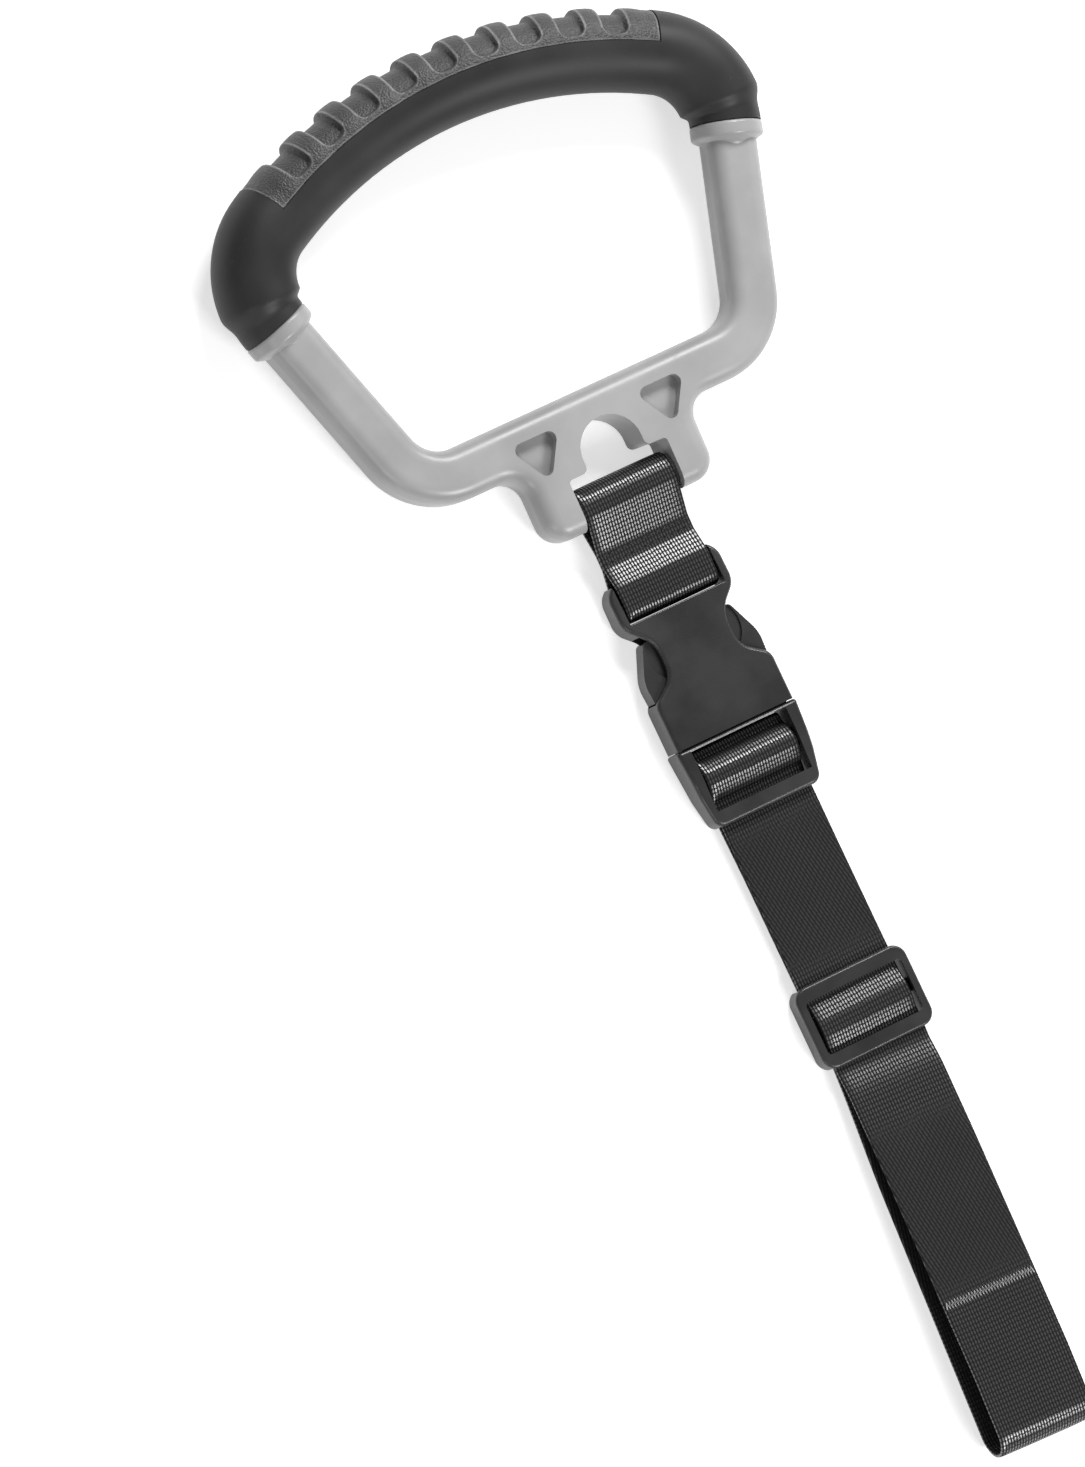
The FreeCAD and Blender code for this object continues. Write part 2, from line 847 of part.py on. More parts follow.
def main():
    frame = tilted(make_frame())
    sleeve = tilted(make_sleeve())
    pad = tilted(make_pad())
    lowest = min(shape.optimalBoundingBox(False, False).ZMin for shape in (frame, sleeve))
    bar_at = tilt_turn.multVec(vec(0, crossbar_y)) + vec(0, 0, -lowest)
    arm = make_latch_arm()
    shapes = {
        "handle_frame": lifted(frame, -lowest),
        "grip_sleeve": lifted(sleeve, -lowest),
        "grip_pad": lifted(pad, -lowest),
        "tether_webbing": make_tether(bar_at),
        "buckle_receptacle": make_receptacle(),
        "buckle_plug": make_plug(),
        "latch_arm_right": arm,
        "latch_arm_left": mirrored(arm),
        "strap_webbing": make_strap(),
        "end_bartack": make_bartack(),
        "strap_slider": make_slider(),
    }
    boxes = [shape.optimalBoundingBox(False, False) for shape in shapes.values()]
    middle = (min(box.YMin for box in boxes) + max(box.YMax for box in boxes)) / 2
    os.makedirs("parts", exist_ok=True)
    for name, shape in shapes.items():
        shape.translate(vec(0, -middle))
        shape.exportStep(f"parts/{name}.step")
        print(name, shape.isValid(), len(shape.Solids), round(shape.Volume))
    print("shift in Y", round(-middle, 4))
    print("crossbar axis at", round(bar_at.y - middle, 4), round(bar_at.z, 4))
    return shapes


main()
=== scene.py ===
import bpy
import bmesh
import json
import math
from mathutils import Matrix, Vector


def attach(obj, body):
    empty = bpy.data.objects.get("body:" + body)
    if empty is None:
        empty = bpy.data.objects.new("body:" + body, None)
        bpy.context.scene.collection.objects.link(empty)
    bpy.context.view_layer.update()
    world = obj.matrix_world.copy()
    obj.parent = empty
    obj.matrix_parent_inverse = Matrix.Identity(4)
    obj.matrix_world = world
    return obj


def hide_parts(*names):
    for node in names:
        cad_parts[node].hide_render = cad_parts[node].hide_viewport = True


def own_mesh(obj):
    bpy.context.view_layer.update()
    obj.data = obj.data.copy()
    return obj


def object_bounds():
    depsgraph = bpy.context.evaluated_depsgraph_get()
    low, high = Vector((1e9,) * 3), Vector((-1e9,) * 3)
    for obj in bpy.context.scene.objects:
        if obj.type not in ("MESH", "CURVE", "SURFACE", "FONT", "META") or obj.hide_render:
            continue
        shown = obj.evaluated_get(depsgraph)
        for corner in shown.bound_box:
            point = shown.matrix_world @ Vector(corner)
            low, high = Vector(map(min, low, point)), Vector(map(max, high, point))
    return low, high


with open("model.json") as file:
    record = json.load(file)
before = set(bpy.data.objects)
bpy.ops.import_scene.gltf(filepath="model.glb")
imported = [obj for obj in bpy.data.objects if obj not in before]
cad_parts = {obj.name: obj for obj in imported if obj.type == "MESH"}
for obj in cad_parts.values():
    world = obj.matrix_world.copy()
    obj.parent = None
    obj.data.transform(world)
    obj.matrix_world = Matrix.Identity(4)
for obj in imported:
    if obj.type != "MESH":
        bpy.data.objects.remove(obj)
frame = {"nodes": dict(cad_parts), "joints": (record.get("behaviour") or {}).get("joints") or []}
cadLow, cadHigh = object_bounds()
nodes = frame["nodes"]
joints = {joint["name"]: joint for joint in frame["joints"]}
mm = 0.001      # pieces are sized in millimetres, finishes, camera and studio in metres
print("frame loaded:", len(nodes), "nodes")


# Nodes for materials and for geometry

class Value:
    # a number socket that Python's operators work on
    def __init__(self, maker, socket):
        self.maker = maker
        self.socket = socket

    def math(self, operation, *others):
        inputs = dict(enumerate((self, *others)))
        return self.maker.value("ShaderNodeMath", {"operation": operation}, inputs)

    def __add__(self, other):
        return self.math("ADD", other)

    __radd__ = __add__

    def __sub__(self, other):
        return self.math("SUBTRACT", other)

    def __rsub__(self, other):
        return self.maker.value("ShaderNodeMath", {"operation": "SUBTRACT"}, {0: other, 1: self})

    def __mul__(self, other):
        return self.math("MULTIPLY", other)

    __rmul__ = __mul__

    def __truediv__(self, other):
        return self.math("DIVIDE", other)

    def __pow__(self, other):
        return self.math("POWER", other)

    def fract(self):
        return self.math("FRACT")

    def floor(self):
        return self.math("FLOOR")

    def abs(self):
        return self.math("ABSOLUTE")

    def least(self, other):
        return self.math("MINIMUM", other)

    def most(self, other):
        return self.math("MAXIMUM", other)

    def root(self):
        return self.math("SQRT")

    def modulo(self, other):
        return self.math("MODULO", other)

    def dome(self, power):
        # 0 at each whole number and 1 halfway to the next
        return 1 - ((self.fract() * 2 - 1).abs() ** power)

    def ramp(self, low, high):
        # rises smoothly from 0 at low to 1 at high
        settings = {"interpolation_type": "SMOOTHSTEP"}
        return self.maker.value("ShaderNodeMapRange", settings, {0: self, 1: low, 2: high})


class Maker:
    # adds nodes to one tree
    def __init__(self, tree):
        self.tree = tree

    def add(self, kind, settings=None, inputs=None):
        node = self.tree.nodes.new(kind)
        for name, setting in (settings or {}).items():
            setattr(node, name, setting)
        for key, item in (inputs or {}).items():
            self.feed(node.inputs[key], item)
        return node

    def feed(self, socket, item):
        if isinstance(item, Value):
            item = item.socket
        if isinstance(item, bpy.types.NodeSocket):
            self.tree.links.new(item, socket)
        else:
            socket.default_value = item

    def value(self, kind, settings=None, inputs=None, output=0):
        return Value(self, self.add(kind, settings, inputs).outputs[output])


class Finish(Maker):
    # one material
    def __init__(self, name):
        self.material = bpy.data.materials.new(name)
        self.material.use_nodes = True
        super().__init__(self.material.node_tree)
        self.shader = self.tree.nodes["Principled BSDF"]

    def place(self):
        return self.add("ShaderNodeTexCoord").outputs["Object"]

    def uv(self):
        # the piece's own place in millimetres: across, along
        split = self.add("ShaderNodeSeparateXYZ", None, {0: self.add("ShaderNodeUVMap").outputs[0]})
        return Value(self, split.outputs[0]), Value(self, split.outputs[1])

    def attribute(self, name):
        return self.value("ShaderNodeAttribute", {"attribute_name": name}, None, "Fac")

    def noise(self, scale, detail, roughness=0.5):
        inputs = {"Vector": self.place(), "Scale": scale, "Detail": detail, "Roughness": roughness}
        return self.value("ShaderNodeTexNoise", None, inputs)

    def patches(self, low, high, **look):
        # noise with its contrast drawn out, from 0 to 1
        return self.noise(**look).ramp(low, high)

    def mix(self, share, low, high):
        inputs = {"Factor": share, 6: low, 7: high}
        return self.add("ShaderNodeMix", {"data_type": "RGBA"}, inputs).outputs[2]

    def bump(self, height, depth, strength):
        inputs = {"Height": height, "Distance": depth, "Strength": strength}
        return self.add("ShaderNodeBump", None, inputs).outputs[0]

    def set(self, **sockets):
        for name, item in sockets.items():
            self.feed(self.shader.inputs[name.replace("_", " ")], item)
        return self.material


def addObject(name, data):
    made = bpy.data.objects.new(name, data)
    bpy.context.scene.collection.objects.link(made)
    return made


class Builder(Maker):
    # one Geometry Nodes tree with named inputs
    def __init__(self, name):
        super().__init__(bpy.data.node_groups.new(name, "GeometryNodeTree"))
        self.tree.interface.new_socket("Geometry", in_out="INPUT", socket_type="NodeSocketGeometry")
        self.tree.interface.new_socket("Geometry", in_out="OUTPUT", socket_type="NodeSocketGeometry")
        self.entry = self.tree.nodes.new("NodeGroupInput")
        self.given = {}

    def input(self, name, number):
        kind = "NodeSocketInt" if isinstance(number, int) else "NodeSocketFloat"
        socket = self.tree.interface.new_socket(name, in_out="INPUT", socket_type=kind)
        self.given[socket.identifier] = number
        return Value(self, self.entry.outputs[name])

    def vector(self, x, y, z):
        return self.add("ShaderNodeCombineXYZ", None, {0: x, 1: y, 2: z}).outputs[0]

    def stored(self, name, kind="FLOAT"):
        return self.value("GeometryNodeInputNamedAttribute", {"data_type": kind}, {"Name": name})

    def drift(self, seed):
        # a number from -1 to 1 for each point
        inputs = {2: -1.0, 3: 1.0, "Seed": seed}
        return self.value("FunctionNodeRandomValue", {"data_type": "FLOAT"}, inputs, 1)

    def finish(self, geometry, material):
        real = self.add("GeometryNodeRealizeInstances", None, {0: geometry})
        made = self.add("GeometryNodeSetMaterial", None, {0: real.outputs[0], "Material": material})
        outlet = self.tree.nodes.new("NodeGroupOutput")
        self.tree.links.new(made.outputs[0], outlet.inputs[0])

    def apply(self, mesh):
        # the plain mesh that the tree makes from this one
        holder = addObject("holder", mesh)
        modifier = holder.modifiers.new("nodes", "NODES")
        modifier.node_group = self.tree
        for identifier, number in self.given.items():
            modifier[identifier] = number
        graph = bpy.context.evaluated_depsgraph_get()
        graph.update()
        made = bpy.data.meshes.new_from_object(holder.evaluated_get(graph))
        holder.modifiers.remove(modifier)
        bpy.data.objects.remove(holder)
        return made


def grey(level):
    return (level, level, level, 1)


# Grey moulded plastic of the handle's frame
framePlastic = {
    "dark": 0.345, "light": 0.405, "roughness": 0.31, "specular": 0.5,
    "mottle": {"scale": 38, "detail": 4, "low": 0.3, "high": 0.7}, "mottleRough": 0.06,
    "scuff": {"scale": 220, "detail": 5, "roughness": 0.7, "low": 0.62, "high": 0.8}, "scuffRough": 0.1,
    "grain": {"scale": 1500, "detail": 2}, "grainDepth": 0.00012, "grainStrength": 0.25,
}


def framePlasticFinish(sizes):
    finish = Finish("framePlastic")
    mottle = finish.patches(**sizes["mottle"])
    scuff = finish.patches(**sizes["scuff"])
    grain = finish.noise(**sizes["grain"])
    return finish.set(
        Base_Color=finish.mix(mottle, grey(sizes["dark"]), grey(sizes["light"])),
        Roughness=mottle * sizes["mottleRough"] + scuff * sizes["scuffRough"] + sizes["roughness"],
        Normal=finish.bump(grain, sizes["grainDepth"], sizes["grainStrength"]),
        Specular_IOR_Level=sizes["specular"],
    )


# Smooth black rubber of the grip, with fine pale specks
gripRubber = {
    "dark": 0.022, "light": 0.034, "roughness": 0.46, "specular": 0.3,
    "cloud": {"scale": 30, "detail": 4, "low": 0.3, "high": 0.7}, "cloudRough": 0.08,
    "speck": {"scale": 700, "detail": 3, "roughness": 0.6, "low": 0.68, "high": 0.78},
    "speckColor": 0.16, "speckShare": 0.25, "speckRough": 0.15,
    "grain": {"scale": 900, "detail": 3}, "grainDepth": 0.0001, "grainStrength": 0.2,
}


def gripRubberFinish(sizes):
    finish = Finish("gripRubber")
    cloud = finish.patches(**sizes["cloud"])
    speck = finish.patches(**sizes["speck"])
    grain = finish.noise(**sizes["grain"])
    color = finish.mix(cloud, grey(sizes["dark"]), grey(sizes["light"]))
    return finish.set(
        Base_Color=finish.mix(speck * sizes["speckShare"], color, grey(sizes["speckColor"])),
        Roughness=cloud * sizes["cloudRough"] + speck * sizes["speckRough"] + sizes["roughness"],
        Normal=finish.bump(grain, sizes["grainDepth"], sizes["grainStrength"]),
        Specular_IOR_Level=sizes["specular"],
    )


# Pebbled rubber of the palm pad, with painted highlight: pale lines on the rims of its pockets and along
# its seams
padRubber = {
    "dark": 0.026, "light": 0.056, "roughness": 0.42,
    "cloud": {"scale": 60, "detail": 4, "low": 0.3, "high": 0.75},
    "pebbleScale": 1300, "pebbleEdge": (0.2, 0.7), "pebbleShare": 0.5, "pebbleLight": 1.3,
    "pebbleRough": 0.12, "pebbleDepth": 0.0005, "pebbleStrength": 0.45,
    "paintedHighlight": 0.34, "highlightPatchiness": 0.5,
}


def padRubberFinish(sizes):
    finish = Finish("padRubber")
    places = {"Vector": finish.place(), "Scale": sizes["pebbleScale"]}
    pebble = finish.value("ShaderNodeTexVoronoi", None, places)
    cloud = finish.patches(**sizes["cloud"])
    bright = pebble.ramp(*sizes["pebbleEdge"]) * sizes["pebbleShare"]
    # painted highlight: the pad's colour turns pale along its pocket rims and seams, patchy with the cloud
    highlightShare = finish.attribute("paintedHighlight") * (cloud * sizes["highlightPatchiness"] + (1 - sizes["highlightPatchiness"]))
    color = finish.mix(cloud, grey(sizes["dark"]), grey(sizes["light"]))
    color = finish.mix(bright, color, grey(sizes["light"] * sizes["pebbleLight"]))
    return finish.set(
        Base_Color=finish.mix(highlightShare, color, grey(sizes["paintedHighlight"])),
        Roughness=pebble * sizes["pebbleRough"] + sizes["roughness"],
        Normal=finish.bump(pebble, sizes["pebbleDepth"], sizes["pebbleStrength"]),
    )


# Black moulded plastic of the buckle, its latch arms and the slider
bucklePlastic = {
    "dark": 0.021, "light": 0.034, "roughness": 0.29,
    "cloud": {"scale": 50, "detail": 4, "low": 0.3, "high": 0.7}, "cloudRough": 0.06,
    "grain": {"scale": 1800, "detail": 2}, "grainDepth": 0.00015, "grainStrength": 0.3,
}


def bucklePlasticFinish(sizes):
    finish = Finish("bucklePlastic")
    cloud = finish.patches(**sizes["cloud"])
    grain = finish.noise(**sizes["grain"])
    return finish.set(
        Base_Color=finish.mix(cloud, grey(sizes["dark"]), grey(sizes["light"])),
        Roughness=cloud * sizes["cloudRough"] + sizes["roughness"],
        Normal=finish.bump(grain, sizes["grainDepth"], sizes["grainStrength"]),
    )


# Woven webbing: leaning ropes of beads where the strap lies flat, rows of dots where it is bent, with
# painted shade darkening the gaps between them.
# Ropes, beads, cords and rows are measured in millimetres on the piece's own map.
webbing = {
    "dark": 0.001, "light": 0.015, "colorEdge": (0.25, 0.95), "relief": 0.0001, "power": 2.0,
    "rope": 1.25, "lean": 0.2, "wander": {"scale": 60, "detail": 2}, "wanderShare": 0.5,
    "bead": 2.6, "beadStagger": 0.4, "beadPower": 2.5, "beadShare": 0.3,
    "cord": 1.15, "row": 1.75, "rowStagger": 0.12, "rowShare": 0.45,
    "patch": {"scale": 45, "detail": 3, "low": 0.3, "high": 0.7}, "patchShare": 0.3,
    "fuzz": {"scale": 2200, "detail": 2}, "fuzzRelief": 0.1, "fuzzRough": 0.1,
    "roughness": 0.65, "specular": 0.3, "sheenRoughness": 0.34, "sheenIndex": 2.0,
    "dotEdge": (0.55, 0.92), "dotSheen": 0.8, "dotFuzz": 0.5,
    "ropeEdge": (0.55, 0.9), "ropeSheen": 0.4,
}


def webbingFinish(sizes):
    finish = Finish("webbing")
    across, along = finish.uv()
    bent = finish.attribute("bent")
    wander = (finish.noise(**sizes["wander"]) - 0.5) * sizes["wanderShare"]
    rope = (across - along * sizes["lean"] + wander) / sizes["rope"]
    bead = along / sizes["bead"] + rope.floor() * sizes["beadStagger"]
    beads = bead.dome(sizes["beadPower"]) * sizes["beadShare"] + (1 - sizes["beadShare"])
    ropes = rope.dome(sizes["power"]) * beads
    cord = across / sizes["cord"]
    row = along / sizes["row"] + cord.floor().modulo(2.0) * sizes["rowStagger"]
    rows = row.dome(sizes["power"]) * sizes["rowShare"] + (1 - sizes["rowShare"])
    dots = cord.dome(sizes["power"]) * rows
    yarn = ropes * (1 - bent) + dots * bent
    fuzz = finish.noise(**sizes["fuzz"])
    patch = finish.patches(**sizes["patch"]) * sizes["patchShare"] + (1 - sizes["patchShare"])
    # painted shade: the colour darkens from the tops of the yarns into the gaps between them; patch varies
    # the tone at random
    unshadedShare = yarn.ramp(*sizes["colorEdge"]) * patch
    dotSheen = dots.ramp(*sizes["dotEdge"]) * (fuzz * sizes["dotFuzz"] + sizes["dotSheen"])
    ropeSheen = ropes.ramp(*sizes["ropeEdge"]) * sizes["ropeSheen"]
    return finish.set(
        Base_Color=finish.mix(unshadedShare, grey(sizes["dark"]), grey(sizes["light"])),
        Roughness=fuzz * sizes["fuzzRough"] + sizes["roughness"],
        Specular_IOR_Level=sizes["specular"],
        Coat_Weight=dotSheen * bent + ropeSheen * (1 - bent),
        Coat_Roughness=sizes["sheenRoughness"],
        Coat_IOR=sizes["sheenIndex"],
        Normal=finish.bump(yarn + fuzz * sizes["fuzzRelief"], sizes["relief"], 1.0),
    )


# Sewing thread: pale for the zigzag at the end, black for the short loop's running stitches
thread = {
    "color": 0.62, "shade": 0.45, "roughness": 0.6, "plyRough": 0.15,
    "ply": {"scale": 900, "detail": 3, "roughness": 0.6, "low": 0.35, "high": 0.65},
}
seamThread = {**thread, "color": 0.022, "roughness": 0.5, "ply": {**thread["ply"], "scale": 1500}}


def threadFinish(name, sizes):
    finish = Finish(name)
    ply = finish.patches(**sizes["ply"])
    return finish.set(
        Base_Color=finish.mix(ply, grey(sizes["color"] * sizes["shade"]), grey(sizes["color"])),
        Roughness=ply * sizes["plyRough"] + sizes["roughness"],
    )


finishes = {
    "frame": framePlasticFinish(framePlastic),
    "grip": gripRubberFinish(gripRubber),
    "pad": padRubberFinish(padRubber),
    "buckle": bucklePlasticFinish(bucklePlastic),
    "webbing": webbingFinish(webbing),
    "thread": threadFinish("thread", thread),
    "seamThread": threadFinish("seamThread", seamThread),
}
print("finishes made:", len(finishes))

keptSolids = {
    "handle_frame": "frame",
    "grip_sleeve": "grip",
    "buckle_receptacle": "buckle",
    "buckle_plug": "buckle",
    "strap_slider": "buckle",
}


def paint(piece, finish):
    piece.data.materials.clear()
    piece.data.materials.append(finishes[finish])


for name, finish in keptSolids.items():
    paint(nodes[name], finish)
print("solids painted:", len(keptSolids))


# The handle in its own plane, in millimetres, with y 0 at the top of the crossbar's slot
handle = {
    "tilt": 3.044, "crossbarY": -6.3,
    "armFoot": (70, 22.2), "armLean": 17.8, "armLength": 77.8,
    "shoulderRadius": 28, "crestRadius": 170, "gripRadius": 15.1,
}


def placeHandle(sizes):
    # the handle's own plane, tipped onto its grip, through the crossbar's axis in the frame
    tilt = math.radians(sizes["tilt"])
    barY, barZ = joints["tether_swing"]["pos_m"][1:]
    shiftY = barY / mm - sizes["crossbarY"] * math.cos(tilt)
    lift = barZ / mm - sizes["crossbarY"] * math.sin(tilt)
    return shiftY, Matrix.Translation((0, shiftY, lift)) @ Matrix.Rotation(tilt, 4, "X")


strapZero, handlePlace = placeHandle(handle)


def addPiece(name, mesh, finish, body, replaced=()):
    mesh.name = name
    mesh.polygons.foreach_set("use_smooth", [True] * len(mesh.polygons))
    piece = addObject(name, mesh)
    paint(piece, finish)
    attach(piece, body)
    if replaced:
        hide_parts(*replaced)
    print(name, len(mesh.polygons), "faces")
    return piece


def sheetOfRings(rings, closed):
    # a mesh from equal rings of points, capped at both ends where the row of rings isn't closed
    mesh = bpy.data.meshes.new("rings")
    count = len(rings[0])
    points = [point for ring in rings for point in ring]
    faces = []
    for i in range(len(rings) if closed else len(rings) - 1):
        here = i * count
        there = (i + 1) % len(rings) * count
        for j in range(count):
            k = (j + 1) % count
            faces.append((here + j, here + k, there + k, there + j))
    if not closed:
        faces.append(tuple(reversed(range(count))))
        faces.append(tuple((len(rings) - 1) * count + j for j in range(count)))
    mesh.from_pydata(points, [], faces)
    shape = bmesh.new()
    shape.from_mesh(mesh)
    bmesh.ops.recalc_face_normals(shape, faces=shape.faces)
    shape.to_mesh(mesh)
    shape.free()
    return mesh


# Palm pad: a half ring on the outer side of the grip, with nine pockets sunk between its ten ribs.
# Shares are of the pitch from rib to rib, and pocketStart is an angle from straight up.
pad = {
    "thick": 4.15, "segments": 10, "pitchDegrees": 5.42, "crown": 0.3, "crownShare": 0.25, "endShare": 0.6,
    "pocketShare": 0.54, "pocketStart": 16, "pocketDepth": 2.5, "pocketCorner": 3.0, "wallHalf": 0.6,
    "seamOut": 1.2, "seamGroove": 0.28, "seamWidth": 0.7, "highlightHalf": 0.36,
    "floorStep": 0.8, "wallStep": 0.2, "endSteps": 5, "aroundSteps": 84, "innerSteps": 8,
}


def crestCenter(sizes):
    # the middle of the crest's arc, which meets both shoulders smoothly
    lean = math.radians(sizes["armLean"])
    footX, footY = sizes["armFoot"]
    collarX = footX + math.sin(lean) * sizes["armLength"]
    collarY = footY + math.cos(lean) * sizes["armLength"]
    centerX = collarX - math.cos(lean) * sizes["shoulderRadius"]
    centerY = collarY + math.sin(lean) * sizes["shoulderRadius"]
    return centerY - math.sqrt((sizes["crestRadius"] - sizes["shoulderRadius"]) ** 2 - centerX ** 2)


def padColumns(sizes, radius):
    # places along the pad, close together on the walls of the pockets
    pitch = math.radians(sizes["pitchDegrees"]) * radius
    half = sizes["segments"] * pitch / 2
    wall = pitch * sizes["pocketShare"] / 2
    steps = int(2 * sizes["wallHalf"] / sizes["wallStep"]) + 2
    stops = [-half, half]
    for i in range(1, sizes["segments"]):
        center = i * pitch - half
        for edge in (center - wall, center + wall):
            stops += [edge + (k - steps / 2) * sizes["wallStep"] for k in range(steps + 1)]
    for end in (-1, 1):
        stops += [end * (half - k * sizes["wallStep"]) for k in range(1, sizes["endSteps"] + 1)]
    stops.sort()
    columns = []
    for start, end in zip(stops, stops[1:]):
        parts = max(1, round((end - start) / sizes["floorStep"]))
        columns += [start + (end - start) * k / parts for k in range(parts)]
    return columns + [half], pitch, wall, half


def padRibs(sizes, grip, pitch, wall, half):
    # sinks the pockets, rounds each rib, draws the skin in along the seams and marks the lines of painted
    # highlight on the pocket rims and seams
    tree = Builder("padRibs")
    depth = tree.input("pocketDepth", sizes["pocketDepth"])
    pitchIn = tree.input("ribPitch", pitch)
    wallIn = tree.input("pocketHalfWidth", wall)
    soft = tree.input("edgeHalfWidth", sizes["wallHalf"])
    corner = tree.input("pocketCorner", sizes["pocketCorner"])
    reach = tree.input("pocketHalfReach", math.radians(90 - sizes["pocketStart"]) * grip["gripRadius"])
    groove = tree.input("seamGroove", sizes["seamGroove"])
    grooveWidth = tree.input("seamWidth", sizes["seamWidth"])
    crown = tree.input("ribCrown", sizes["crown"])
    highlightHalf = tree.input("highlightHalfWidth", sizes["highlightHalf"])
    along = tree.stored("along")
    around = tree.stored("around")
    toEdge = tree.stored("toEdge")
    outer = tree.stored("outer")
    share = (along + half) / pitchIn + 0.5
    fromPocket = (share.fract() - 0.5).abs() * pitchIn
    inside = (half - along.abs()).math("GREATER_THAN", pitch * sizes["endShare"])
    acrossWay = (fromPocket - wallIn + corner).most(0.0)
    aroundWay = (around.abs() - reach + corner).most(0.0)
    distance = (acrossWay * acrossWay + aroundWay * aroundWay).root() - corner
    pocket = (1 - distance.ramp(soft * -1, soft)) * inside
    ribMiddle = (0.5 - (share.fract() - 0.5).abs()) * pitchIn
    fromMiddle = (ribMiddle / (pitchIn * sizes["crownShare"])).least(1.0)
    rounded = fromMiddle ** 2.0 * (1 - pocket) * crown
    edge = (1 - toEdge.ramp(0.0, grooveWidth)) * groove
    sink = (pocket * depth + edge + rounded) * outer * -1
    outward = tree.stored("outward", "FLOAT_VECTOR")
    scaled = tree.add("ShaderNodeVectorMath", {"operation": "SCALE"}, {0: outward, "Scale": sink})
    moved = tree.add("GeometryNodeSetPosition", None, {
        "Geometry": tree.entry.outputs["Geometry"], "Offset": scaled.outputs[0],
    })
    # painted highlight: a mask of thin lines along the pocket rims and the seams, which the pad's finish
    # paints pale
    paintedHighlight = (1 - (distance - soft).abs().ramp(0.0, highlightHalf)) * inside
    seam = 1 - (toEdge - grooveWidth).abs().ramp(0.0, highlightHalf)
    marked = tree.add("GeometryNodeStoreNamedAttribute", {"data_type": "FLOAT", "domain": "POINT"}, {
        "Geometry": moved.outputs[0], "Name": "paintedHighlight", "Value": paintedHighlight.most(seam) * outer,
    })
    tree.finish(marked.outputs[0], finishes["pad"])
    return tree


def makePad(sizes, grip):
    middle = crestCenter(grip)
    radius = grip["crestRadius"] + grip["gripRadius"]
    columns, pitch, wall, half = padColumns(sizes, radius)
    outer = grip["gripRadius"]
    inner = outer - sizes["thick"]
    outerStart = math.asin(sizes["seamOut"] / outer)
    innerStart = math.asin(sizes["seamOut"] / inner)
    seamReach = (math.pi / 2 - outerStart) * outer
    ring = []      # each place round the ring: radius, angle from straight up, and 1 on the outer skin
    for k in range(sizes["aroundSteps"] + 1):
        ring.append((outer, outerStart + (math.pi - 2 * outerStart) * k / sizes["aroundSteps"], 1.0))
    for k in range(sizes["innerSteps"] + 1):
        turn = innerStart + (math.pi - 2 * innerStart) * k / sizes["innerSteps"]
        ring.append((inner, math.pi - turn, 0.0))
    rings = []
    stored = {"along": [], "around": [], "toEdge": [], "outer": [], "outward": []}
    for place in columns:
        turn = place / radius
        way = Vector((math.sin(turn), math.cos(turn), 0))
        points = []
        for size, angle, skin in ring:
            outward = way * math.sin(angle) + Vector((0, 0, math.cos(angle)))
            points.append(Vector((0, middle, 0)) + way * grip["crestRadius"] + outward * size)
            reach = (angle - math.pi / 2) * outer
            stored["along"].append(place)
            stored["around"].append(reach)
            stored["toEdge"].append(max(0, min(seamReach - abs(reach), half - abs(place))))
            stored["outer"].append(skin)
            stored["outward"] += list(outward)
        rings.append(points)
    mesh = sheetOfRings(rings, False)
    for name, numbers in stored.items():
        kind, key = ("FLOAT_VECTOR", "vector") if name == "outward" else ("FLOAT", "value")
        mesh.attributes.new(name, kind, "POINT").data.foreach_set(key, numbers)
    made = padRibs(sizes, grip, pitch, wall, half).apply(mesh)
    made.transform(Matrix.Scale(mm, 4) @ handlePlace)
    for name in stored:
        made.attributes.remove(made.attributes[name])
    addPiece("palmPad", made, "pad", "handle", ("grip_pad",))


makePad(pad, handle)


# Webbing bands: a rounded flat section carried along a route of corners (y, z, radius)
band = {
    "width": 38.0, "thick": 1.6, "crown": 0.12,
    "faceSteps": 18, "edgeSteps": 4, "step": 2.5, "arcStep": 5, "closest": 0.0001,
}


def roundedRoute(corners, sizes, closed):
    points = []
    count = len(corners)
    spots = [Vector((y, z)) for y, z, radius in corners]
    for i in range(count):
        here = spots[i]
        if not closed and i in (0, count - 1):
            points.append(here)
            continue
        toLast = (spots[i - 1] - here).normalized()
        toNext = (spots[(i + 1) % count] - here).normalized()
        half = toLast.angle(toNext) / 2
        turn = math.pi - 2 * half
        radius = corners[i][2]
        reach = radius / math.tan(half)
        center = here + (toLast + toNext).normalized() * (radius / math.sin(half))
        arm = here + toLast * reach - center
        sense = 1 if toLast.cross(toNext) < 0 else -1
        steps = max(2, math.ceil(math.degrees(turn) / sizes["arcStep"]))
        for k in range(steps + 1):
            angle = sense * turn * k / steps
            swung = Vector((
                arm.x * math.cos(angle) - arm.y * math.sin(angle),
                arm.x * math.sin(angle) + arm.y * math.cos(angle),
            ))
            points.append(center + swung)
    dense = []
    for i in range(len(points) if closed else len(points) - 1):
        start = points[i]
        end = points[(i + 1) % len(points)]
        length = (end - start).length
        if length < sizes["closest"]:
            continue
        parts = max(1, math.ceil(length / sizes["step"]))
        dense += [start.lerp(end, k / parts) for k in range(parts)]
    return dense if closed else dense + [points[-1]]


def bandSection(sizes, width):
    # the section's points (across, up), once round, with rounded selvedges and slightly crowned faces
    bevel = sizes["thick"] / 2
    flat = width / 2 - bevel
    points = []
    for side in (1, -1):
        for k in range(sizes["faceSteps"]):
            x = side * flat * (1 - 2 * k / sizes["faceSteps"])
            z = side * (bevel - sizes["crown"] * (x / flat) ** 4)
            points.append((x, z))
        for k in range(sizes["edgeSteps"] + 1):
            angle = math.pi * k / sizes["edgeSteps"]
            x = -side * (flat + bevel * math.sin(angle))
            points.append((x, side * (bevel - sizes["crown"]) * math.cos(angle)))
    return points


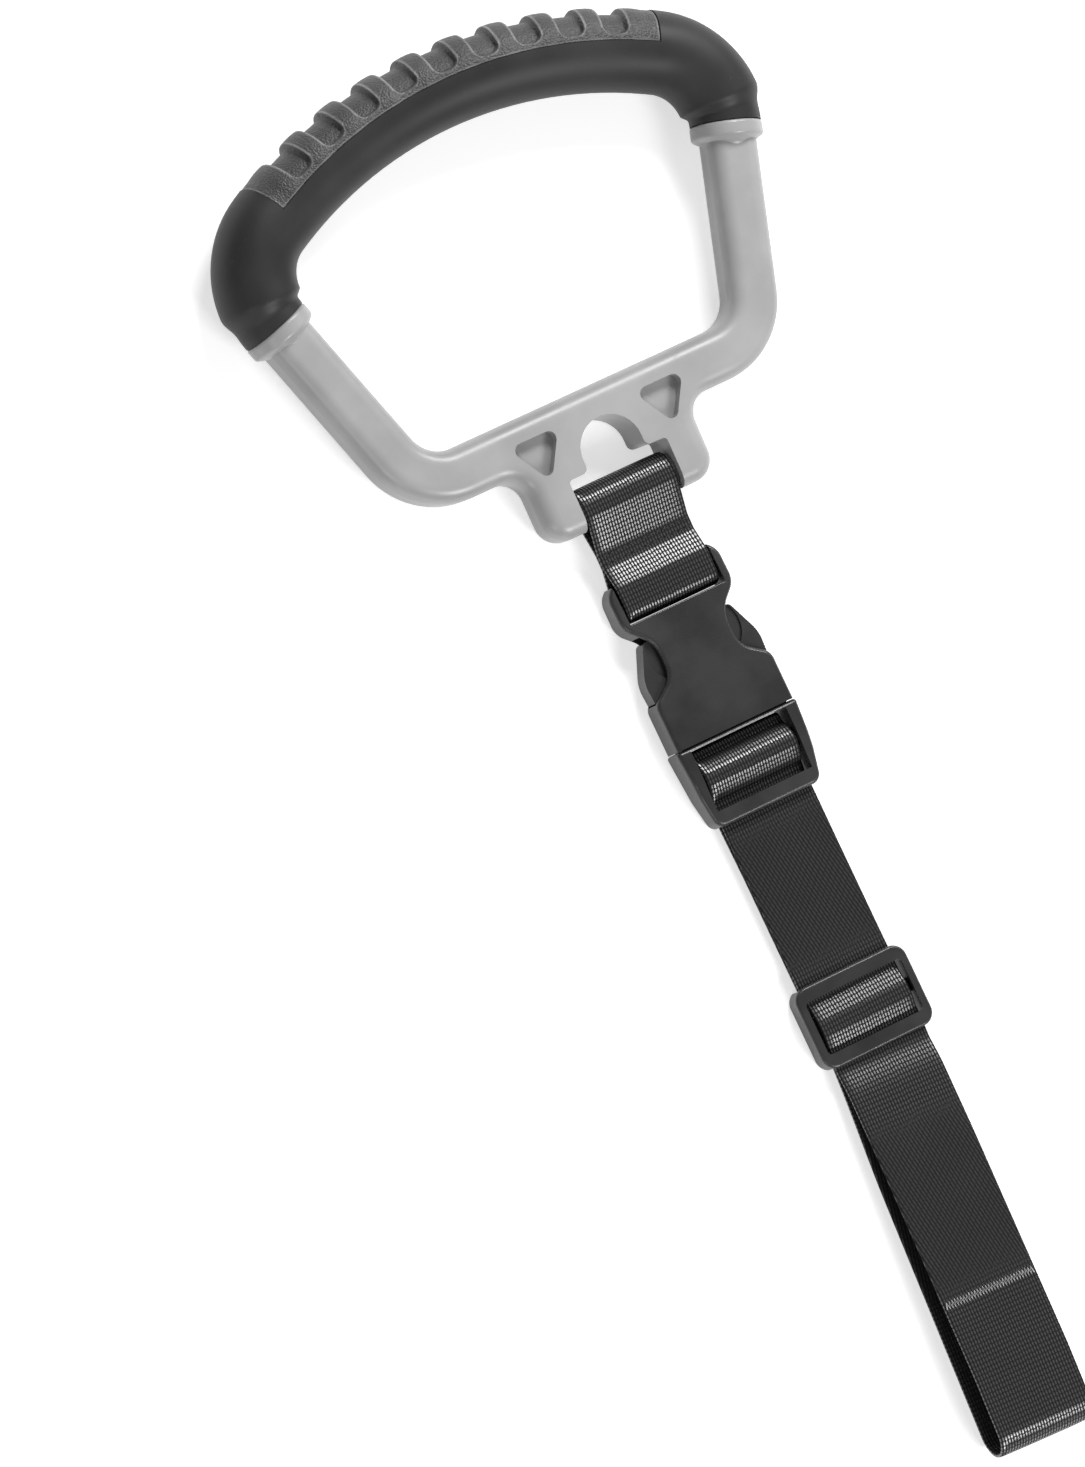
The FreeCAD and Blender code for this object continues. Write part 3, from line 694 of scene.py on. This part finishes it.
def makeBandMesh(corners, sizes, closed=True, width=None, shape=None, bentAt=None):
    # shape moves each point, and bentAt says how bent the webbing is at a place on its route
    route = roundedRoute(corners, sizes, closed)
    section = bandSection(sizes, width or sizes["width"])
    count = len(route)
    ringSize = len(section)
    rings = []
    places = []
    bentness = []
    travelled = 0
    for i in range(count):
        here = route[i]
        before = route[i - 1] if closed or i > 0 else here
        after = route[(i + 1) % count] if closed or i < count - 1 else here
        way = (after - before).normalized()
        normal = Vector((-way.y, way.x))
        if i > 0:
            travelled += (here - route[i - 1]).length
        ring = []
        for x, z in section:
            spot = here + normal * z
            point = Vector((x, spot.x, spot.y))
            ring.append(shape(point) if shape else point)
            places.append((x, travelled))
            bentness.append(bentAt(here) if bentAt else 1.0)
        rings.append(ring)
    mesh = sheetOfRings(rings, closed)
    total = travelled + (route[0] - route[-1]).length
    layer = mesh.uv_layers.new(name="place")
    for polygon in mesh.polygons:
        vertices = [mesh.loops[loop].vertex_index for loop in polygon.loop_indices]
        atRings = [vertex // ringSize for vertex in vertices]
        closing = closed and max(atRings) == count - 1 and min(atRings) == 0
        for loop, vertex, atRing in zip(polygon.loop_indices, vertices, atRings):
            x, along = places[vertex]
            layer.data[loop].uv = (x, total if closing and atRing == 0 else along)
    mesh.attributes.new("bent", "FLOAT", "POINT").data.foreach_set("value", bentness)
    mesh.transform(Matrix.Scale(mm, 4) @ Matrix.Translation((0, strapZero, 0)))
    return mesh


# Short loop: over the crossbar, down to the sewn middle, round the buckle's web bar and back
tether = {
    "barTop": 5.6, "barRound": 0.97, "arch": (0.7, 6.8), "brow": (-4.4, 6.2, 4.0), "under": (-2.0, 4.0),
    "seamTop": 8.5, "seamGap": 1.6, "seamRise": 0.3, "seamY": (-24.2, -30.0), "bend": 5.0,
    "loopTop": 4.7, "loopRound": 0.995, "loopOver": (7.6, 5.2), "loopUnder": 3.6,
}


def jointSpot(name):
    # a joint's place in millimetres along the strap's line, and its height
    y, z = joints[name]["pos_m"][1:]
    return y / mm - strapZero, z / mm


def tetherCorners(sizes):
    barY, barZ = jointSpot("tether_swing")
    loopY, loopZ = jointSpot("buckle_swing")
    reach = sizes["barTop"]
    turn = sizes["loopTop"]
    turnRound = turn * sizes["loopRound"]
    rise, arch = sizes["arch"]
    browY, browZ, browRound = sizes["brow"]
    underY, underRound = sizes["under"]
    overY, overZ = sizes["loopOver"]
    start, end = sizes["seamY"]
    upper = sizes["seamTop"]
    lower = upper - sizes["seamGap"]
    bend = sizes["bend"]
    return [
        (barY + reach, barZ - reach, reach * sizes["barRound"]),
        (barY + reach, barZ + reach + rise, arch),
        (barY + browY, barZ + browZ, browRound),
        (start, upper + sizes["seamRise"], bend),
        (end, upper, bend),
        (loopY + overY, loopZ + overZ, bend),
        (loopY - turn, loopZ + turn, turnRound),
        (loopY - turn, loopZ - turn, turnRound),
        (loopY + sizes["loopUnder"], loopZ - turn, bend),
        (end, lower, bend),
        (start, lower + sizes["seamRise"], bend),
        (barY + underY, barZ - reach, underRound),
    ]


shortLoop = makeBandMesh(tetherCorners(tether), band)
addPiece("shortLoop", shortLoop, "webbing", "tether", ("tether_webbing",))


# Running stitches that close the short loop, in two rows across its middle
seam = {
    "width": 33.0, "pitch": 2.75, "stitch": 2.1, "gap": 3.0, "threadRadius": 0.28,
    "threadSides": 8, "proud": 0.1, "slope": 3.0, "seed": 7, "wobble": 0.12,
}


def seamTree(sizes):
    tree = Builder("seamStitches")
    width = tree.input("width", sizes["width"])
    pitch = tree.input("pitch", sizes["pitch"])
    gap = tree.input("rowGap", sizes["gap"])
    length = tree.input("stitchLength", sizes["stitch"])
    radius = tree.input("threadRadius", sizes["threadRadius"])
    wobble = tree.input("wobble", sizes["wobble"])
    count = ((width / pitch).floor() + 1) * 2      # two rows, filled in turn
    line = tree.add("GeometryNodeMeshLine", None, {"Count": count})
    index = tree.value("GeometryNodeInputIndex")
    row = (index.modulo(2.0) - 0.5) * gap + tree.drift(sizes["seed"]) * wobble
    place = tree.vector((index / 2).floor() * pitch - width / 2, row, 0.0)
    placed = tree.add("GeometryNodeSetPosition", None, {0: line.outputs[0], "Position": place})
    stitch = tree.add("GeometryNodeMeshCylinder", None, {
        "Vertices": sizes["threadSides"], "Radius": radius, "Depth": length,
    })
    spread = tree.add("GeometryNodeInstanceOnPoints", None, {
        "Points": placed.outputs[0], "Instance": stitch.outputs[0], "Rotation": (0, math.pi / 2, 0),
    })
    tree.finish(spread.outputs[0], finishes["seamThread"])
    return tree


def seamPlace(sizes, loop):
    # on the upper face of the short loop's sewn middle
    start, end = loop["seamY"]
    top = loop["seamTop"] + band["thick"] / 2 + sizes["proud"]
    middle = Vector((0, (start + end) / 2 + strapZero, top))
    turn = Matrix.Rotation(math.radians(sizes["slope"]), 4, "X")
    return Matrix.Scale(mm, 4) @ Matrix.Translation(middle) @ turn


stitches = seamTree(seam).apply(bpy.data.meshes.new("stitches"))
stitches.transform(seamPlace(seam, tether))
addPiece("seamStitches", stitches, "seamThread", "tether")


# Long strap: over the adjuster bar, under the lip, through the slider, round the end and back
strap = {
    "overBar": (      # y, z and radius from the middle of the adjuster bar
        (10.1, -4.9, 1.9), (10.1, -0.6, 1.7), (6.4, 0.1, 2.2), (4.9, 2.5, 4.0),
        (1.0, 4.9, 4.0), (-2.6, 4.6, 2.6), (-6.4, 2.4, 4.0), (-8.6, -0.2, 2.5),
    ),
    "lip": (-124.6, 5.35, 8), "step": (-236.5, 7.7, 40), "rise": (-264, 10.62, 150),
    "flatStart": -150, "startRound": 100, "flatEnd": -228, "endRound": 12,
    "crest": -346, "crestRound": 60, "end": -374.2, "fold": 7.5,
    "foot": -270, "lowerEnd": -236, "lowerRound": 150,
    "upper": 5.1, "lower": 3.3, "floor": 0.8, "top": 16.6,
    "bendY": -222, "bendReach": 7, "bendAngle": -3.2,
    "flatSpans": ((-132, -192), (-248, -318)), "flatSoft": 9.0,
}


def strapCorners(sizes):
    barY, barZ = jointSpot("strap_swing")
    return [
        *((barY + y, barZ + z, radius) for y, z, radius in sizes["overBar"]),
        sizes["lip"],
        (sizes["flatStart"], sizes["upper"], sizes["startRound"]),
        (sizes["flatEnd"], sizes["upper"], sizes["endRound"]),
        sizes["step"],
        sizes["rise"],
        (sizes["crest"], sizes["top"], sizes["crestRound"]),
        (sizes["end"], sizes["top"], sizes["fold"]),
        (sizes["end"], sizes["floor"], sizes["fold"]),
        (sizes["foot"], sizes["floor"], sizes["lowerRound"]),
        (sizes["lowerEnd"], sizes["lower"], sizes["lowerRound"]),
        (sizes["flatStart"], sizes["lower"], sizes["lowerRound"]),
    ]


def bendStrap(sizes):
    # swings what is below the slider a little to one side
    full = math.radians(sizes["bendAngle"])

    def shape(point):
        share = (sizes["bendY"] + sizes["bendReach"] - point.y) / (2 * sizes["bendReach"])
        share = min(1.0, max(0.0, share))
        angle = full * share * share * (3 - 2 * share)
        x = point.x
        y = point.y - sizes["bendY"]
        return Vector((
            x * math.cos(angle) - y * math.sin(angle),
            x * math.sin(angle) + y * math.cos(angle) + sizes["bendY"],
            point.z,
        ))
    return shape


def bentBeyond(spans, soft):
    # 0 where the strap lies flat, in spans of y, and 1 elsewhere
    def bentAt(place):
        share = 0.0
        for start, end in spans:
            inside = min((place.x - end) / soft, (start - place.x) / soft)
            share = max(share, min(1.0, max(0.0, inside)))
        return 1.0 - share
    return bentAt


longStrap = makeBandMesh(
    strapCorners(strap), band, shape=bendStrap(strap),
    bentAt=bentBeyond(strap["flatSpans"], strap["flatSoft"]),
)
addPiece("longStrap", longStrap, "webbing", "strap", ("strap_webbing",))


# Web that stands up through the slider's window and moves with it
window = {
    "width": 37.4, "low": 5.0, "lift": 0.1, "high": 7.4, "footRound": 4, "topRound": 5,
    "start": (-199.0, -201.2), "top": (-208.0, -212.8), "end": (-219.4, -221.6),
}


def windowCorners(sizes):
    startY, startRise = sizes["start"]
    topStart, topEnd = sizes["top"]
    endRise, endY = sizes["end"]
    foot = sizes["low"] + sizes["lift"]
    return [
        (startY, sizes["low"], 0),
        (startRise, foot, sizes["footRound"]),
        (topStart, sizes["high"], sizes["topRound"]),
        (topEnd, sizes["high"], sizes["topRound"]),
        (endRise, foot, sizes["footRound"]),
        (endY, sizes["low"], 0),
    ]


windowWeb = makeBandMesh(windowCorners(window), band, closed=False, width=window["width"])
addPiece("windowWeb", windowWeb, "webbing", "slider")


# Zigzag stitches across the strap, where its ends overlap
bartack = {
    "y": -318, "width": 36.4, "tooth": 0.58, "tall": 2.7, "threadRadius": 0.27,
    "threadSides": 6, "proud": 0.12, "seed": 4, "wobble": 0.16,
}


def zigzagTree(sizes):
    tree = Builder("zigzag")
    width = tree.input("width", sizes["width"])
    tooth = tree.input("tooth", sizes["tooth"])
    tall = tree.input("tall", sizes["tall"])
    radius = tree.input("threadRadius", sizes["threadRadius"])
    wobble = tree.input("wobble", sizes["wobble"])
    line = tree.add("GeometryNodeMeshLine", None, {"Count": width / tooth + 1})
    index = tree.value("GeometryNodeInputIndex")
    swing = (index.modulo(2.0) - 0.5) * tall + tree.drift(sizes["seed"]) * wobble
    place = tree.vector(index * tooth - width / 2, swing, 0.0)
    placed = tree.add("GeometryNodeSetPosition", None, {0: line.outputs[0], "Position": place})
    curve = tree.add("GeometryNodeMeshToCurve", None, {0: placed.outputs[0]})
    ring = tree.add("GeometryNodeCurvePrimitiveCircle", None, {
        "Resolution": sizes["threadSides"], "Radius": radius,
    })
    swept = tree.add("GeometryNodeCurveToMesh", None, {
        0: curve.outputs[0], 1: ring.outputs[0], "Fill Caps": True,
    })
    tree.finish(swept.outputs[0], finishes["thread"])
    return tree


def bartackPlace(sizes, route):
    # on the strap's upper face, which climbs from the rise to the crest
    riseY, riseZ, riseRound = route["rise"]
    slope = math.atan2(route["top"] - riseZ, riseY - route["crest"])
    z = riseZ + (route["top"] - riseZ) * (riseY - sizes["y"]) / (riseY - route["crest"])
    z += (band["thick"] / 2 + sizes["proud"]) / math.cos(slope)
    middle = bendStrap(route)(Vector((0, sizes["y"], z)))
    turn = Matrix.Rotation(math.radians(route["bendAngle"]), 4, "Z") @ Matrix.Rotation(-slope, 4, "X")
    return Matrix.Scale(mm, 4) @ Matrix.Translation(middle + Vector((0, strapZero, 0))) @ turn


zigzag = zigzagTree(bartack).apply(bpy.data.meshes.new("zigzag"))
zigzag.transform(bartackPlace(bartack, strap))
addPiece("endStitches", zigzag, "thread", "strap", ("end_bartack",))


# Latch arms: merged copies of the solids with smooth shading, hung on the latch bodies. On the real buckle
# the arms flatten inwards while the plug is drawn out.
latch = {"root": 17.4, "keep": 0.66, "mergeWithin": 0.00001, "smoothBelow": 35}


def makeLatchArm(name, node, body, sizes):
    mesh = nodes[node].data.copy()
    shape = bmesh.new()
    shape.from_mesh(mesh)
    bmesh.ops.remove_doubles(shape, verts=shape.verts, dist=sizes["mergeWithin"])
    bmesh.ops.recalc_face_normals(shape, faces=shape.faces)
    for edge in shape.edges:
        edge.smooth = edge.calc_face_angle(0) < math.radians(sizes["smoothBelow"])
    shape.to_mesh(mesh)
    shape.free()
    arm = addPiece(name, mesh, "buckle", body, (node,))
    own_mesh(arm)


makeLatchArm("latchRight", "latch_arm_right", "latch_right", latch)
makeLatchArm("latchLeft", "latch_arm_left", "latch_left", latch)


# Camera: a long lens over the object, tipped about the strap's line and rolled as in the photograph
camera = {
    "aim": (-66.2 * mm, 32.6 * mm, 9 * mm), "distance": 3.2, "viewHeight": 516.5 * mm,
    "tip": 20.0, "roll": 25.3, "sensor": 36, "farthest": 20,
}


def makeCamera(sizes):
    tip = math.radians(sizes["tip"])
    roll = math.radians(sizes["roll"])
    back = Vector((-math.sin(tip), 0, math.cos(tip)))
    right = Vector((math.cos(tip), 0, math.sin(tip)))
    upward = Vector((0, 1, 0))
    imageRight = right * math.cos(roll) - upward * math.sin(roll)
    imageUp = upward * math.cos(roll) + right * math.sin(roll)
    data = bpy.data.cameras.new("camera")
    data.sensor_width = sizes["sensor"]
    data.lens = sizes["sensor"] * sizes["distance"] / sizes["viewHeight"]
    data.clip_end = sizes["farthest"]
    holder = addObject("camera", data)
    turn = Matrix((imageRight, imageUp, back)).transposed().to_4x4()
    holder.matrix_world = Matrix.Translation(Vector(sizes["aim"]) + back * sizes["distance"]) @ turn
    bpy.context.scene.camera = holder


makeCamera(camera)


# Studio: a pale floor that the camera sees nearly white, and four soft lamps
studio = {
    "floor": 0.80, "floorSeen": 0.70, "glow": 0.60, "floorRoughness": 0.9,
    "floorSize": 6.0, "floorDrop": 0.0001, "world": 0.20,
}
lamps = [
    {"name": "keyLamp", "at": (0.75, 1.35, 1.35), "size": 0.6, "power": 25},
    {"name": "sideLamp", "at": (1.7, 1.25, 1.35), "size": 0.6, "power": 20},
    {"name": "nearLamp", "at": (0.35, -1.5, 1.25), "size": 0.6, "power": 24},
    {"name": "fillLamp", "at": (-1.5, -0.9, 1.1), "size": 0.6, "power": 7},
]


def makeFloor(sizes):
    half = sizes["floorSize"] / 2
    corners = [(-half, -half, 0), (half, -half, 0), (half, half, 0), (-half, half, 0)]
    mesh = bpy.data.meshes.new("floor")
    mesh.from_pydata(corners, [], [(0, 1, 2, 3)])
    floor = addObject("floor", mesh)
    floor.location.z = cadLow[2] - sizes["floorDrop"]
    finish = Finish("floor")
    rays = finish.add("ShaderNodeLightPath")
    direct = Value(finish, rays.outputs["Is Camera Ray"])
    mirrored = Value(finish, rays.outputs["Is Glossy Ray"])
    through = Value(finish, rays.outputs["Is Transmission Ray"])
    seen = direct.most(mirrored).most(through)
    mesh.materials.append(finish.set(
        Base_Color=finish.mix(seen, grey(sizes["floor"]), grey(sizes["floorSeen"])),
        Emission_Color=finish.mix(seen, grey(0), grey(sizes["glow"])),
        Emission_Strength=1.0,
        Roughness=sizes["floorRoughness"],
    ))


def makeWorld(sizes):
    world = bpy.data.worlds.new("world")
    world.use_nodes = True
    sky = Maker(world.node_tree)
    direct = sky.value("ShaderNodeLightPath", output="Is Camera Ray")
    background = world.node_tree.nodes["Background"]
    sky.feed(background.inputs["Color"], grey(1))
    sky.feed(background.inputs["Strength"], direct * (1 - sizes["world"]) + sizes["world"])
    bpy.context.scene.world = world


def makeLamp(sizes):
    data = bpy.data.lights.new(sizes["name"], "AREA")
    data.size = sizes["size"]
    data.energy = sizes["power"]
    holder = addObject(sizes["name"], data)
    holder.location = sizes["at"]
    holder.rotation_euler = (-Vector(sizes["at"])).to_track_quat("-Z", "Y").to_euler()


makeFloor(studio)
makeWorld(studio)
for lamp in lamps:
    makeLamp(lamp)
bpy.context.scene.view_settings.view_transform = "Standard"
print("studio ready")
